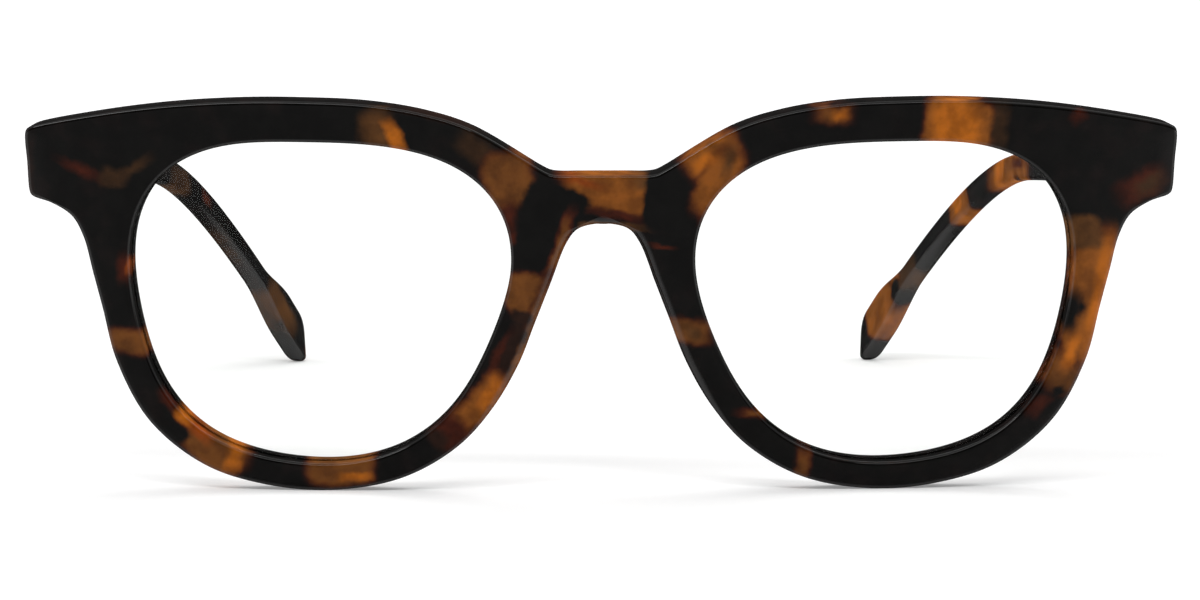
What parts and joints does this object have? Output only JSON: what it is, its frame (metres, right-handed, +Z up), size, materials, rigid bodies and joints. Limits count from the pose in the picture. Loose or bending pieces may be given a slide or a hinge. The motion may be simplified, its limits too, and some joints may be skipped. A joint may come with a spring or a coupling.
{
  "type": "eyeglasses",
  "caption": "Full-rim acetate spectacles with a heavier brow, two clear lenses, saddle bridge, and temples that fold on barrel hinges.",
  "frame": {"origin": "centre of the standing, open pair's footprint, on the floor plane", "axes": "+Z up, +X to the wearer's left, +Y from the front back along the temples; the wearer would look along -Y"},
  "size_m": [0.1414, 0.1442, 0.0486],
  "materials": {
    "tortoiseshell_acetate": "polished acetate, dark brown to black with amber and olive-brown patches",
    "pad_acetate": "polished translucent brown acetate",
    "lens": "clear uncoated lens, polished",
    "hinge_metal": "satin nickel silver",
    "screw_steel": "polished steel",
    "core_wire": "drawn nickel silver wire"
  },
  "bodies": {
    "front": {"front": "tortoiseshell_acetate", "lens_left": "lens", "lens_right": "lens", "nose_pad_left": "pad_acetate", "nose_pad_right": "pad_acetate", "hinge_front_leaf_left": "hinge_metal", "hinge_front_leaf_right": "hinge_metal", "front_leaf_screws_left": "screw_steel", "front_leaf_screws_right": "screw_steel", "hinge_screw_left": "screw_steel", "hinge_screw_right": "screw_steel"},
    "temple_left": {"temple_left": "tortoiseshell_acetate", "temple_core_left": "core_wire", "hinge_temple_leaf_left": "hinge_metal", "temple_leaf_screws_left": "screw_steel"},
    "temple_right": {"temple_right": "tortoiseshell_acetate", "temple_core_right": "core_wire", "hinge_temple_leaf_right": "hinge_metal", "temple_leaf_screws_right": "screw_steel"}
  },
  "joints": [
    {"name": "temple_left_fold", "type": "hinge", "parent": "front", "child": "temple_left", "pos_m": [0.06456, -0.06023, 0.04077], "axis": [0, 0.0944, 0.9955], "range_deg": [0, 81.5]},
    {"name": "temple_right_fold", "type": "hinge", "parent": "front", "child": "temple_right", "pos_m": [-0.06456, -0.06023, 0.04077], "axis": [0, -0.0944, -0.9955], "range_deg": [0, 68]}
  ]
}
